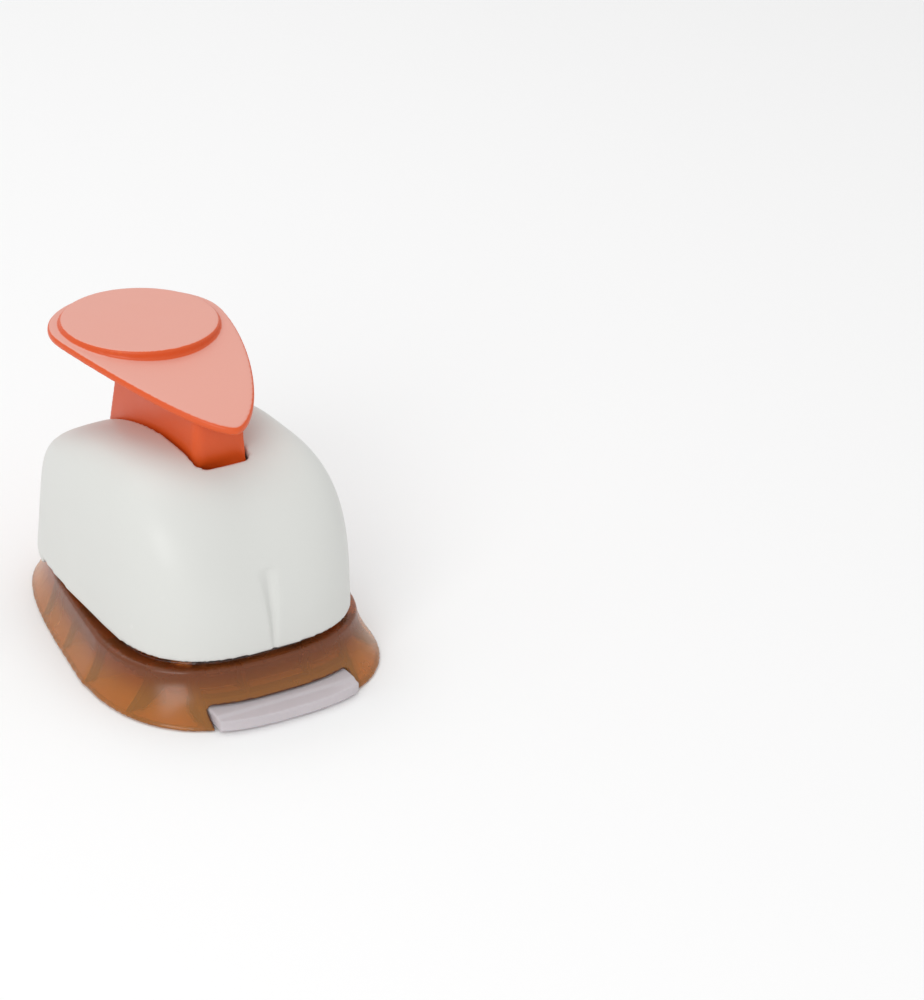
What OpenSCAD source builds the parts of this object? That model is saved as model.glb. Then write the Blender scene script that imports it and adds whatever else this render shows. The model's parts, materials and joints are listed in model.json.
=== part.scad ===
// Lever craft punch that cuts a five-pointed star out of paper.
// +X right, -Y to the front where the paper goes in, +Z up, z = 0 on the table.

/* [Housing] */
// Half of the housing's width at its widest
housing_half_w = 25.5; // [24:0.5:32]
// Y of the housing's widest place
housing_mid_y = -8; // [-12:1:-4]
// Reach of the housing in front of its widest place
housing_front = 25.6; // [24:0.2:32]
// Reach of the housing behind its widest place
housing_rear = 45; // [42:0.5:54]
// Height of the housing's crown above the lever's pin
crown_over_pin = 15.4; // [13:0.2:17]
// Thickness of the housing's wall
housing_wall = 2; // [1.5:0.1:2.4]
// Where the paper throat ends and the housing comes down to the base
throat_end_y = 22; // [18:0.5:26]
// Width of the slot for the lever's stem
slot_w = 12; // [11.6:0.2:13]

/* [Base] */
// Half of the base's width at its foot
foot_half_w = 31; // [30:0.5:40]
// How far the foot stands out past the ridge at the sides
side_flare = 3.7; // [2:0.1:5]
// How far the foot stands out past the ridge at the front
front_flare = 7.9; // [6:0.1:10]
// How far the foot stands out past the ridge at the rear
rear_flare = 3.6; // [2:0.1:5]
// Height of the paper ledge
ledge_z = 9.6; // [9:0.1:12]
// Thickness of the base's skirt
skirt_wall = 2; // [1.5:0.1:2.5]
// Thickness of the base's deck
deck_t = 2.2; // [1.8:0.1:2.6]

/* [Cutting set] */
// Gap for the paper between the two plates
paper_gap = 1.2; // [0.8:0.1:2]
// Thickness of the die plate
die_t = 2.5; // [2:0.1:3]
// Thickness of the guide plate
guide_t = 3; // [2.5:0.1:4]
// Rear edge of both plates
plate_end_y = 12.4; // [10:0.2:12.6]
// Circle through the tips of the star
star_r = 12.8; // [9:0.2:13.4]
// Rounding of the star's tips
star_tip_r = 0.9; // [0.5:0.1:1.6]
// Y of the punch's axis
punch_y = -7; // [-8:0.5:-6]
// Clearance of the cutter in the plates
cutter_gap = 0.05; // [0.03:0.01:0.1]

/* [Lever] */
// Y of the lever's pin
pivot_y = -22; // [-23:0.5:-21]
// Height of the lever's pin
pivot_z = 29; // [28:0.5:30]
// Angle that the lever is pressed through
press_angle = 22; // [18:0.5:22]
// Half of the thumb plate's width
plate_half_w = 18.5; // [16:0.5:22]
// Y of the round thumb pad's centre
pad_y = 23.4; // [21:0.2:25]
// Radius of the raised thumb pad
pad_r = 16.2; // [12:0.2:16.4]
// Width of the lever's stem
stem_w = 10.8; // [10:0.2:11]
// Thickness of the thumb plate
plate_t = 1.6; // [1.5:0.1:2]
// Radius of the lever's pin
pin_r = 1.5; // [1.25:0.05:1.75]

/* [Lock] */
// Half of the clear bar's width
bar_half_w = 15.6; // [14.6:0.5:17.1]
// How far the lock slide pulls out
lock_travel = 4.2; // [3.8:0.1:4.4]

/* [Hidden] */

$fn = 48;
eps = 0.02;
run_gap = 0.03;        // radial clearance of a running fit
loose = 0.3;           // clearance between pieces that only pass each other
ring_steps = 60;       // points around each ring of a shell

// Stack of the cutting set
die_proud = 0.2;
die_top = ledge_z + die_proud;
die_z = die_top - die_t;
guide_z = die_top + paper_gap;
guide_top = guide_z + guide_t;
bed_t = 2.3;
bed_z = die_z - bed_t;
plate_inset = 2.6;     // from the housing's outside to the plates' edge
bed_rim = 1.6;         // deck around the die plate
spacer_y = punch_y + star_r + 1.2;     // front edge of the gap spacer, the paper's stop

// Housing
housing_top_z = pivot_z + crown_over_pin;
throat_z = guide_z + 0.4;
housing_foot_z = ledge_z + 0.1;
housing_front_power = 2.8;
housing_rear_power = 4;
housing_taper = 0.0007;
crown_y = -4;
crown_fall_rear = 0.0078;
crown_fall_front = 0.016;
dome_lean = 0.05;      // share that the walls lean in by the time they reach the crown
front_dome_power = 3.3;   // how square the dome's shoulder is at the front, sides and rear
side_dome_power = 5;
rear_dome_power = 12;
dome_levels = [0, 0.4, 0.6, 0.74, 0.84, 0.9, 0.94, 0.965, 0.98, 0.99, 0.997, 1];
slot_front_y = -13.3;
slot_rear_y = 31;
rear_boss_x = 10.5;
rear_boss_y = 30;
rear_boss_r = 3.2;
rear_boss_top = 20;
rear_web_t = 1.8;       // web that ties each boss to the rear wall
housing_rib_y = [-16, -1];    // ribs that rest on the guide plate
housing_rib_t = 1.2;
housing_rib_h = 8;
housing_rib_len = 4;
slot_low_z = guide_top + 6;   // the slot is cut from here up

// Base
foot_mid_y = -10;
foot_front = 31.5;
foot_rear = 52.3;
foot_front_power = 2.6;
foot_rear_power = 4;
foot_taper = 0.0047;
ridge_z = ledge_z - 0.5;
flare_power = 1.6;
foot_levels = [0, 0.12, 0.26, 0.4, 0.56, 0.74, 1];
notch_half_w = bar_half_w + 0.2;
notch_wall = 1.8;
notch_depth = 13;      // from the bar's front edge to the back of the notch
panel_low_z = 3.5;     // lower edge of the panel over the lock's bar
panel_rib_x = 6.6;
panel_rib_t = 0.8;
skirt_rib_y = [-26, -12, 2, 16];
skirt_rib_t = 1.2;
chip_hole_gap = 1;     // how far the chip hole stands out past the star
seat_gap = 0.1;        // around the die plate in its seat
window_gap = 0.5;      // around the lock's upright in the deck

// Screws
screw_r = 1.5;
head_r = 2.6;
head_t = 1.6;
drive_len = 2.8;       // cross in the screw's head
drive_w = 0.7;
drive_depth = 0.9;
die_screw = [10, (spacer_y + plate_end_y) / 2];
base_screw = [10, -25.5];
frame_screw = [13, -24];
cutter_screw_r = star_r * 0.49;       // circle of the three cutter screws
cutter_screw_angles = [90, 234, 306];
cutter_screw_depth = 4;

// Cutter, carrier, posts and springs
star_inner_share = 0.557;   // inner corners of the star, as a share of its radius
cutter_low_z = guide_z + 1.5;
cutter_len = 7.7;
carrier_z = cutter_low_z + cutter_len;
carrier_floor_t = 3;
carrier_top = pivot_z - 3;
carrier_half_y = 4;
post_x = 17.5;
post_r = 2;
bush_r = 3;
bush_t = 2.5;
bush_z = carrier_top - bush_t;
spring_pocket_r = 3.6;
spring_mid_r = 2.85;
spring_wire_r = 0.3;
spring_turns = 5;
clip_t = 0.8;
clip_gap = 0.05;
post_groove_r = post_r - 0.4;
post_top = carrier_top + clip_gap + clip_t + 1;
lever_arm = punch_y - pivot_y;      // base radius of the involute cam
cam_lift = 0.04;
cam_h = carrier_top - pivot_z;
cam_steps = 8;

// Lever
hub_r = 3.7;
plate_over_pin = 28;     // underside of the thumb plate at its pad, above the lever's pin
plate_mid_y = pad_y + 1;    // where the plate is widest
plate_rear_reach = pad_r + 0.2;
plate_rear_y = plate_mid_y + plate_rear_reach;
plate_tip_y = -18.1;
plate_low_z = pivot_z + plate_over_pin;
plate_tilt = -0.5;
plate_drop = 5.6;
plate_drop_length = 40;
plate_drop_power = 1.85;
pad_t = 1;
stem_wall = 1.7;
stem_front_y = -10.8;
stem_low_z = 29.2;
stem_rear_low = [28.4, 31];
stem_rear_high = [21.3, 58.5];
catch_r = 1.25;
catch_y = 15.4;
catch_z = 31.17;

// Pivot frame
ear_x = stem_w / 2 + 0.4;
ear_t = 1.6;
frame_t = 1.5;
frame_front_y = -29.5;
frame_rear_y = -18.5;
frame_half_w = 17;
ear_half_y = 3.5;
ring_t = 1.5;          // how far a retaining ring stands out of its groove
clip_disc_t = 0.7;
pin_groove_r = pin_r - 0.35;
pin_half = ear_x + ear_t + clip_disc_t + 1.2;

// Lock slide
bar_front_y = -42.3;
bar_z = 0.3;
bar_top_z = panel_low_z - 0.4;
bar_step_z = 2.7;
bar_step_y = -38.6;
bar_depth = 9;
arm_out_x = bar_half_w - 0.3;
arm_in_x = arm_out_x - 2.6;
arm_z = 1.3;
upright_y = 19.4;
upright_t = 3;
upright_half_w = 3;
nose_y = 16.3;
nose_z = 18.4;
nose_t = 2.6;
keeper_t = 0.9;
keeper_y = [-22, 2];
keeper_len = 6;

// ---- Outlines --------------------------------------------------------------

// Point of a closed curve at angle a: two powered ovals that meet at the widest place,
// the rear one narrowing evenly to the back.
function oval_point(a, half_w, front, rear, front_power, rear_power, taper) =
    let (reach = sin(a) < 0 ? front : rear)
    let (power = sin(a) < 0 ? front_power : rear_power)
    let (r = pow(pow(abs(cos(a)) / half_w, power) + pow(abs(sin(a)) / reach, power), -1 / power))
    [r * cos(a) * (sin(a) > 0 ? 1 - taper * r * sin(a) : 1), r * sin(a)];

function housing_curve(inset) = [for (i = [0:ring_steps - 1])
    oval_point(360 * i / ring_steps, housing_half_w - inset, housing_front - inset, housing_rear - inset,
        housing_front_power, housing_rear_power, housing_taper) + [0, housing_mid_y]];

// flare runs from 1 at the foot to 0 at the ridge
function base_curve(flare, inset) = [for (i = [0:ring_steps - 1])
    oval_point(360 * i / ring_steps,
        foot_half_w - side_flare * (1 - flare) - inset,
        foot_front - front_flare * (1 - flare) - inset,
        foot_rear - rear_flare * (1 - flare) - inset,
        foot_front_power, foot_rear_power, foot_taper) + [0, foot_mid_y]];

function crown(y) = housing_top_z
    - (y > crown_y ? crown_fall_rear : crown_fall_front) * pow(y - crown_y, 2);

function dome_power(p) =
    let (away = p - [0, housing_mid_y])
    let (back = pow(away.y / norm(away), 4))
    side_dome_power + back * ((away.y > 0 ? rear_dome_power : front_dome_power) - side_dome_power);

// One ring of the dome: share runs from 0 at the middle to 1 at the wall
function dome_ring(share, inset) = [for (p = housing_curve(inset))
    let (power = dome_power(p))
    let (rise = pow(1 - pow(share, power), 1 / power))
    let (reach = share * (1 - dome_lean * rise))
    let (q = [p.x * reach, housing_mid_y + (p.y - housing_mid_y) * reach])
    [q.x, q.y, throat_z + (crown(share == 0 ? housing_mid_y : q.y) - inset - throat_z) * rise]];

function at_z(curve, z) = [for (p = curve) [p.x, p.y, z]];

// Closed solid through rings of equal length, the lowest first, with flat ends
module loft(rings) {
    n = len(rings[0]);
    last = len(rings) - 1;
    points = [for (ring = rings) each ring];
    sides = [for (k = [0:last - 1]) for (i = [0:n - 1])
        let (a = k * n + i)
        let (b = k * n + (i + 1) % n)
        each [[a, a + n, b + n], [a, b + n, b]]];
    floor_face = [for (i = [0:n - 1]) i];
    roof_face = [for (i = [n - 1:-1:0]) last * n + i];
    polyhedron(points, concat([floor_face, roof_face], sides));
}

module dome(inset, low_z) {
    smallest = 0.05;
    levels = [for (i = [len(dome_levels) - 1:-1:1]) dome_levels[i]];
    top_z = crown(housing_mid_y) - inset;
    loft(concat(
        [at_z(housing_curve(inset), low_z)],
        [for (share = levels) dome_ring(share, inset)],
        [at_z([for (p = housing_curve(inset))
            [p.x * smallest, housing_mid_y + (p.y - housing_mid_y) * smallest]], top_z)]));
}

module skirt(inset, top_z) {
    low_z = inset > 0 ? -eps : 0;
    loft([for (share = foot_levels)
        at_z(base_curve(pow(1 - share, flare_power), inset), low_z + share * (top_z - low_z))]);
}

module plate_area(grow) {
    intersection() {
        polygon(housing_curve(plate_inset - grow));
        translate([-housing_half_w, -housing_rear])
            square([2 * housing_half_w, housing_rear + plate_end_y + grow]);
    }
}

// Star with rounded tips, its outline grown by grow
module star(grow) {
    inner_r = star_r * star_inner_share;
    centre = [0, star_r - star_tip_r];
    corner = inner_r * [sin(36), cos(36)];
    gap = corner - centre;
    turn = atan2(gap.y, gap.x) + acos(star_tip_r / norm(gap));
    face = [cos(turn), sin(turn)];
    corner_r = (face * corner + grow) / (face * [sin(36), cos(36)]);
    arc_steps = 6;
    polygon([for (k = [0:4])
        let (spin = [[cos(72 * k), -sin(72 * k)], [sin(72 * k), cos(72 * k)]])
        each concat(
            [for (i = [0:arc_steps])
                let (a = turn + (180 - 2 * turn) * i / arc_steps)
                spin * (centre + (star_tip_r + grow) * [cos(a), sin(a)])],
            [spin * (corner_r * [-sin(36), cos(36)])])]);
}

// ---- Helpers ---------------------------------------------------------------

module both_sides() {
    children();
    mirror([1, 0, 0]) children();
}

module at_cutter_screws() {
    for (a = cutter_screw_angles)
        translate([cutter_screw_r * cos(a), punch_y + cutter_screw_r * sin(a), 0]) children();
}

// Screw that points up from under its seat
module screw_up(seat_z, length) {
    translate([0, 0, seat_z]) cylinder(r = screw_r, h = length);
    difference() {
        translate([0, 0, seat_z - head_t]) cylinder(r = head_r, h = head_t);
        translate([0, 0, seat_z - head_t - eps]) linear_extrude(drive_depth) cross_slot();
    }
}

// Screw that points down from its seat
module screw_down(seat_z, length) {
    translate([0, 0, seat_z - length]) cylinder(r = screw_r, h = length);
    difference() {
        translate([0, 0, seat_z]) cylinder(r = head_r, h = head_t);
        translate([0, 0, seat_z + head_t - drive_depth]) linear_extrude(1) cross_slot();
    }
}

module cross_slot() {
    square([drive_len, drive_w], center = true);
    square([drive_w, drive_len], center = true);
}

// Extrudes a side view drawn in (y, z) to a width along X
module side_view(width) {
    translate([-width / 2, 0, 0]) rotate([90, 0, 90]) linear_extrude(width) children();
}

// ---- Fixed pieces ----------------------------------------------------------

module base() {
    color([0.68, 0.40, 0.22, 0.7]) difference() {
        union() {
            difference() {
                skirt(0, ridge_z);
                skirt(skirt_wall, ledge_z - deck_t);
                // notch for the lock's bar
                translate([-notch_half_w, bar_front_y - 5, -1])
                    cube([2 * notch_half_w, notch_depth + 5, panel_low_z + 1]);
            }
            // flat top of the ledge
            translate([0, 0, ridge_z]) linear_extrude(ledge_z - ridge_z) polygon(base_curve(0, 0.5));
            // bed under the die plate
            translate([0, 0, bed_z]) linear_extrude(ledge_z - bed_z) plate_area(bed_rim);
            // two short ribs behind the panel over the lock's bar
            both_sides() intersection() {
                skirt(skirt_wall / 2, ridge_z);
                translate([panel_rib_x, bar_front_y, panel_low_z + 0.4]) cube([panel_rib_t, 12, bed_z]);
            }
            // walls at the notch's sides
            both_sides() intersection() {
                skirt(0, ridge_z);
                translate([notch_half_w, bar_front_y - 5, 0]) cube([notch_wall, 17, ledge_z - 1]);
            }
            // ribs under the skirt
            both_sides() intersection() {
                skirt(skirt_wall / 2, ridge_z);
                for (y = skirt_rib_y) translate([20, y, 0.8]) cube([12, skirt_rib_t, ledge_z - deck_t]);
            }
            // keepers under the lock's arms
            both_sides() for (y = keeper_y) translate([0, y, 0]) {
                translate([arm_out_x + loose, 0, arm_z - loose - keeper_t])
                    cube([1.5, keeper_len, bed_z - arm_z + loose + keeper_t + eps]);
                translate([arm_out_x - 1.4, 0, arm_z - loose - keeper_t])
                    cube([1.5 + loose + 1.4, keeper_len, keeper_t]);
            }
        }
        // seat of the die plate, the chip hole and the lock's window
        translate([0, 0, die_z]) linear_extrude(die_t + 1) plate_area(seat_gap);
        translate([0, punch_y, bed_z - 1]) linear_extrude(bed_t + 2) star(chip_hole_gap);
        translate([-upright_half_w - window_gap, upright_y - lock_travel - window_gap, bed_z - 1])
            cube([2 * (upright_half_w + window_gap), lock_travel + upright_t + 2 * window_gap, ledge_z]);
        both_sides() translate([die_screw.x, die_screw.y, 0]) cylinder(r = screw_r, h = ledge_z);
        both_sides() translate([base_screw.x, base_screw.y, 0]) cylinder(r = screw_r, h = ledge_z);
        both_sides() translate([rear_boss_x, rear_boss_y, 0]) cylinder(r = screw_r, h = ledge_z + 1);
    }
}

module housing() {
    color([0.86, 0.86, 0.84]) difference() {
        union() {
            difference() {
                dome(0, housing_foot_z);
                dome(housing_wall, housing_foot_z - 1);
            }
            intersection() {
                dome(housing_wall / 2, housing_foot_z);
                union() {
                    both_sides() translate([rear_boss_x, rear_boss_y, housing_foot_z]) {
                        cylinder(r = rear_boss_r, h = rear_boss_top - housing_foot_z);
                        translate([-rear_web_t / 2, 0, 0])
                            cube([rear_web_t, housing_rear - rear_boss_y, rear_boss_top - housing_foot_z]);
                    }
                    both_sides() for (y = housing_rib_y)
                        translate([housing_half_w - housing_rib_len - 0.6, y, guide_top])
                            cube([housing_rib_len, housing_rib_t, housing_rib_h]);
                }
            }
        }
        translate([-housing_half_w - 1, housing_mid_y - housing_front - 1, housing_foot_z - 2])
            cube([2 * housing_half_w + 2, housing_front - housing_mid_y + throat_end_y + 1,
                throat_z - housing_foot_z + 2]);
        translate([-slot_w / 2, slot_front_y, slot_low_z])
            cube([slot_w, slot_rear_y - slot_front_y, housing_top_z]);
        both_sides() translate([rear_boss_x, rear_boss_y, 0]) cylinder(r = screw_r, h = rear_boss_top - 3);
    }
}

module die_plate() {
    color("silver") difference() {
        translate([0, 0, die_z]) linear_extrude(die_t) plate_area(0);
        translate([0, punch_y, die_z - 1]) linear_extrude(die_t + 2) star(cutter_gap);
        both_sides() translate([die_screw.x, die_screw.y, 0]) cylinder(r = screw_r, h = die_top + 1);
        both_sides() translate([base_screw.x, base_screw.y, 0]) cylinder(r = screw_r, h = die_top - 0.5);
    }
}

module guide_plate() {
    color("lightgray") difference() {
        translate([0, 0, guide_z]) linear_extrude(guide_t) plate_area(0);
        translate([0, punch_y, guide_z - 1]) linear_extrude(guide_t + 2) star(cutter_gap);
        both_sides() translate([post_x, punch_y, guide_z - 1]) cylinder(r = post_r, h = guide_t + 2);
        both_sides() translate([die_screw.x, die_screw.y, 0]) cylinder(r = screw_r, h = guide_top - 0.6);
        both_sides() translate([frame_screw.x, frame_screw.y, guide_z + 0.5])
            cylinder(r = screw_r, h = guide_t);
    }
}

module gap_spacer() {
    color("dimgray") difference() {
        translate([0, 0, die_top]) linear_extrude(paper_gap) intersection() {
            plate_area(0);
            translate([-19, spacer_y]) square([38, plate_end_y - spacer_y]);
        }
        both_sides() translate([die_screw.x, die_screw.y, 0]) cylinder(r = screw_r, h = guide_z + 1);
    }
}

module pivot_frame() {
    color("gainsboro") difference() {
        union() {
            translate([-frame_half_w, frame_front_y + 3, guide_top])
                cube([2 * frame_half_w, frame_rear_y - frame_front_y - 3, frame_t]);
            both_sides() side_ear();
        }
        translate([-pin_half, pivot_y, pivot_z]) rotate([0, 90, 0]) cylinder(r = pin_r, h = 2 * pin_half);
        both_sides() translate([frame_screw.x, frame_screw.y, guide_top - 1])
            cylinder(r = screw_r, h = frame_t + 2);
    }
}

module side_ear() {
    translate([ear_x, 0, 0]) rotate([90, 0, 90]) linear_extrude(ear_t) union() {
        translate([pivot_y, pivot_z]) circle(r = ear_half_y);
        polygon([
            [pivot_y - ear_half_y, pivot_z], [pivot_y + ear_half_y, pivot_z],
            [frame_rear_y, guide_top], [frame_front_y + 3, guide_top]]);
    }
}

module lever_pin() {
    color("darkgray") translate([0, pivot_y, pivot_z]) rotate([0, 90, 0]) difference() {
        translate([0, 0, -pin_half]) cylinder(r = pin_r, h = 2 * pin_half);
        for (side = [-1, 1]) translate([0, 0, side * (ear_x + ear_t + clip_disc_t / 2)]) difference() {
            cylinder(r = pin_r + 1, h = clip_disc_t, center = true);
            cylinder(r = pin_groove_r, h = clip_disc_t + 1, center = true);
        }
    }
}

// Open retaining ring that sits in a groove
module retaining_ring(groove_r, thick) {
    difference() {
        cylinder(r = groove_r + ring_t, h = thick);
        translate([0, 0, -1]) cylinder(r = groove_r, h = thick + 2);
        translate([-groove_r * 0.8, 0, -1]) cube([groove_r * 1.6, groove_r + 3, thick + 2]);
    }
}

module pin_clips() {
    color("dimgray") both_sides() translate([ear_x + ear_t, pivot_y, pivot_z]) rotate([0, 90, 0])
        retaining_ring(pin_groove_r, clip_disc_t);
}

module guide_post() {
    difference() {
        translate([post_x, punch_y, guide_z]) cylinder(r = post_r, h = post_top - guide_z);
        translate([post_x, punch_y, carrier_top + clip_gap]) difference() {
            cylinder(r = post_r + 1, h = clip_t);
            translate([0, 0, -1]) cylinder(r = post_groove_r, h = clip_t + 2);
        }
    }
}

module guide_post_left() {
    color("silver") mirror([1, 0, 0]) guide_post();
}

module guide_post_right() {
    color("silver") guide_post();
}

module post_clips() {
    color("dimgray") both_sides() translate([post_x, punch_y, carrier_top + clip_gap])
        retaining_ring(post_groove_r, clip_t);
}

module die_screws() {
    color("slategray") both_sides() translate([die_screw.x, die_screw.y, 0])
        screw_up(bed_z, guide_top - 1 - bed_z);
}

module base_screws() {
    color("slategray") both_sides() translate([base_screw.x, base_screw.y, 0])
        screw_up(bed_z, die_top - 0.8 - bed_z);
}

module frame_screws() {
    color("slategray") both_sides() translate([frame_screw.x, frame_screw.y, 0])
        screw_down(guide_top + frame_t, frame_t + guide_t - 0.8);
}

module housing_screws() {
    color("slategray") both_sides() translate([rear_boss_x, rear_boss_y, 0])
        screw_up(ledge_z - deck_t, 8);
}

// ---- Lever -----------------------------------------------------------------

// Half width of the thumb plate in front of its round end, v from 0 there to 1 at the tip
function plate_front_x(v) = plate_half_w * pow(1 - pow(v, 1.45), 0.63);

module plate_outline() {
    reach = plate_mid_y - plate_tip_y;
    steps = 22;
    front = [for (i = [0:steps]) let (v = sin(90 * i / steps)) [plate_front_x(v), plate_mid_y - reach * v]];
    rear = [for (i = [1:2 * steps - 1]) let (a = 180 - 180 * i / (2 * steps))
        [plate_half_w * cos(a), plate_mid_y + plate_rear_reach * sin(a)]];
    polygon(concat(
        front,
        [for (i = [steps - 1:-1:0]) [-front[i].x, front[i].y]],
        rear));
}

function plate_low(y) = plate_low_z + tan(plate_tilt) * (y - pad_y)
    - (y < plate_mid_y ? plate_drop * pow((plate_mid_y - y) / plate_drop_length, plate_drop_power) : 0);

module plate_side(thick) {
    steps = 16;
    from = plate_tip_y - 1;
    to = plate_rear_y + 1;
    ys = [for (i = [0:steps]) from + (to - from) * i / steps];
    polygon(concat(
        [for (y = ys) [y, plate_low(y)]],
        [for (i = [steps:-1:0]) [ys[i], plate_low(ys[i]) + thick]]));
}

// Underside of the cam that drives a flat follower straight down by lever_arm times the angle
function cam_point(a) =
    let (fall = cam_h + cam_lift - lever_arm * a * PI / 180)
    [pivot_y + lever_arm * cos(a) - fall * sin(a), pivot_z + lever_arm * sin(a) + fall * cos(a)];

module stem_side() {
    cam_end = cam_point(press_angle);
    union() {
        translate([pivot_y, pivot_z]) circle(r = hub_r);
        polygon(concat(
            [[pivot_y, pivot_z + hub_r], [pivot_y, pivot_z - hub_r], [pivot_y + 4, pivot_z + cam_h - 0.1]],
            [[cam_point(0).x - 1.5, cam_point(0).y + 0.1]],
            [for (i = [0:cam_steps]) cam_point(press_angle * i / cam_steps)],
            [[cam_end.x + 3.7, cam_end.y + 1.9], [cam_end.x + 6.7, stem_low_z]],
            [[catch_y + 5, stem_low_z], stem_rear_low, stem_rear_high],
            [[stem_front_y, plate_low(stem_front_y) + 0.5], [stem_front_y, pivot_z + 12]]));
    }
}

module press_lever() {
    color([0.86, 0.40, 0.26]) difference() {
        union() {
            intersection() {
                translate([0, 0, plate_low_z - 20]) linear_extrude(40) plate_outline();
                side_view(2 * plate_half_w + 2) plate_side(plate_t);
            }
            translate([0, pad_y, plate_low(pad_y) + plate_t / 2]) rotate([plate_tilt, 0, 0])
                cylinder(r = pad_r, h = plate_t / 2 + pad_t);
            intersection() {
                side_view(stem_w) stem_side();
                translate([0, 0, plate_low_z - 60]) linear_extrude(80) union() {
                    plate_outline();
                    translate([-stem_w, pivot_y - 8]) square([2 * stem_w, 30]);
                }
            }
        }
        // hollow of the stem, open at the bottom
        side_view(stem_w - 2 * stem_wall) polygon([
            [cam_point(press_angle).x + 4, stem_low_z - 3], [catch_y + 5, stem_low_z - 3],
            stem_rear_low + [-stem_wall, -3], stem_rear_high + [-stem_wall - 0.6, -6],
            [cam_point(press_angle).x + 4, plate_low(0) - stem_wall]]);
        translate([-stem_w, pivot_y, pivot_z]) rotate([0, 90, 0])
            cylinder(r = pin_r + run_gap, h = 2 * stem_w);
        translate([-stem_w, catch_y, catch_z]) rotate([0, 90, 0]) cylinder(r = catch_r, h = 2 * stem_w);
    }
}

module catch_pin() {
    color("silver") translate([-stem_w / 2, catch_y, catch_z]) rotate([0, 90, 0])
        cylinder(r = catch_r, h = stem_w);
}

// ---- Punch -----------------------------------------------------------------

module punch_carrier() {
    color([0.33, 0.34, 0.36]) difference() {
        union() {
            translate([0, punch_y, carrier_z]) cylinder(r = star_r - 1.5, h = carrier_floor_t);
            translate([0, punch_y, carrier_z]) linear_extrude(carrier_top - carrier_z) union() {
                square([2 * post_x, 2 * carrier_half_y], center = true);
                for (side = [-1, 1]) translate([side * post_x, 0]) circle(r = spring_pocket_r + 1);
            }
        }
        both_sides() translate([post_x, punch_y, 0]) {
            cylinder(r = spring_pocket_r, h = bush_z);
            cylinder(r = bush_r, h = carrier_top + 1);
        }
        at_cutter_screws() {
            cylinder(r = screw_r, h = carrier_top + 1);
            translate([0, 0, carrier_z + carrier_floor_t]) cylinder(r = head_r + 0.2, h = carrier_top);
        }
    }
}

module star_cutter() {
    color("lightsteelblue") difference() {
        translate([0, punch_y, cutter_low_z]) linear_extrude(carrier_z - cutter_low_z) star(0);
        at_cutter_screws() translate([0, 0, carrier_z - cutter_screw_depth])
            cylinder(r = screw_r, h = cutter_screw_depth + 1);
    }
}

module cutter_screws() {
    color("slategray") at_cutter_screws()
        screw_down(carrier_z + carrier_floor_t, carrier_floor_t + cutter_screw_depth);
}

module carrier_bush() {
    translate([post_x, punch_y, bush_z]) difference() {
        cylinder(r = bush_r, h = bush_t);
        translate([0, 0, -1]) cylinder(r = post_r + run_gap, h = bush_t + 2);
    }
}

module carrier_bush_left() {
    color("goldenrod") mirror([1, 0, 0]) carrier_bush();
}

module carrier_bush_right() {
    color("goldenrod") carrier_bush();
}

// Coil spring that stands on the guide plate, swept as rings of eight points
module return_spring() {
    length = bush_z - guide_top;
    sides = 8;
    steps = spring_turns * 20;
    low = guide_top + spring_wire_r;
    climb = length - 2 * spring_wire_r;
    rings = [for (k = [0:steps])
        let (a = 360 * spring_turns * k / steps)
        let (z = low + climb * k / steps)
        [for (i = [0:sides - 1])
            let (b = 360 * i / sides)
            [post_x + (spring_mid_r + spring_wire_r * cos(b)) * cos(a),
             punch_y + (spring_mid_r + spring_wire_r * cos(b)) * sin(a),
             z + spring_wire_r * sin(b)]]];
    loft(rings);
}

module return_spring_left() {
    color("silver") mirror([1, 0, 0]) return_spring();
}

module return_spring_right() {
    color("silver") return_spring();
}

// ---- Lock ------------------------------------------------------------------

module lock_slide() {
    color([0.86, 0.80, 0.82, 0.6]) union() {
        // stepped bar that fills the notch
        intersection() {
            union() {
                translate([-bar_half_w, bar_front_y, bar_z])
                    cube([2 * bar_half_w, bar_depth, bar_step_z - bar_z]);
                translate([-bar_half_w, bar_step_y, bar_z])
                    cube([2 * bar_half_w, bar_front_y + bar_depth - bar_step_y, bar_top_z - bar_z]);
            }
            translate([0, foot_mid_y + foot_front + bar_front_y - 2 * foot_mid_y, 0])
                linear_extrude(ledge_z) polygon(base_curve(1, 0));
        }
        both_sides() translate([arm_in_x, bar_front_y + bar_depth - 1, arm_z])
            cube([arm_out_x - arm_in_x, upright_y + upright_t - bar_front_y - bar_depth + 1,
                bar_top_z - arm_z]);
        translate([-arm_out_x, upright_y, arm_z])
            cube([2 * arm_out_x, upright_t, bar_top_z - arm_z]);
        translate([-upright_half_w, upright_y, arm_z])
            cube([2 * upright_half_w, upright_t, nose_z + nose_t - arm_z]);
        translate([-upright_half_w, nose_y, nose_z])
            cube([2 * upright_half_w, upright_y + upright_t - nose_y, nose_t]);
    }
}

base();
housing();
die_plate();
guide_plate();
gap_spacer();
pivot_frame();
lever_pin();
pin_clips();
guide_post_left();
guide_post_right();
post_clips();
die_screws();
frame_screws();
base_screws();
housing_screws();
press_lever();
catch_pin();
punch_carrier();
star_cutter();
cutter_screws();
carrier_bush_left();
carrier_bush_right();
return_spring_left();
return_spring_right();
lock_slide();
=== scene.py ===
# Lever craft punch: light grey housing, orange lever, amber base and a clear lock bar.
import bpy
import json
import math
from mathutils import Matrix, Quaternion, Vector

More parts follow.
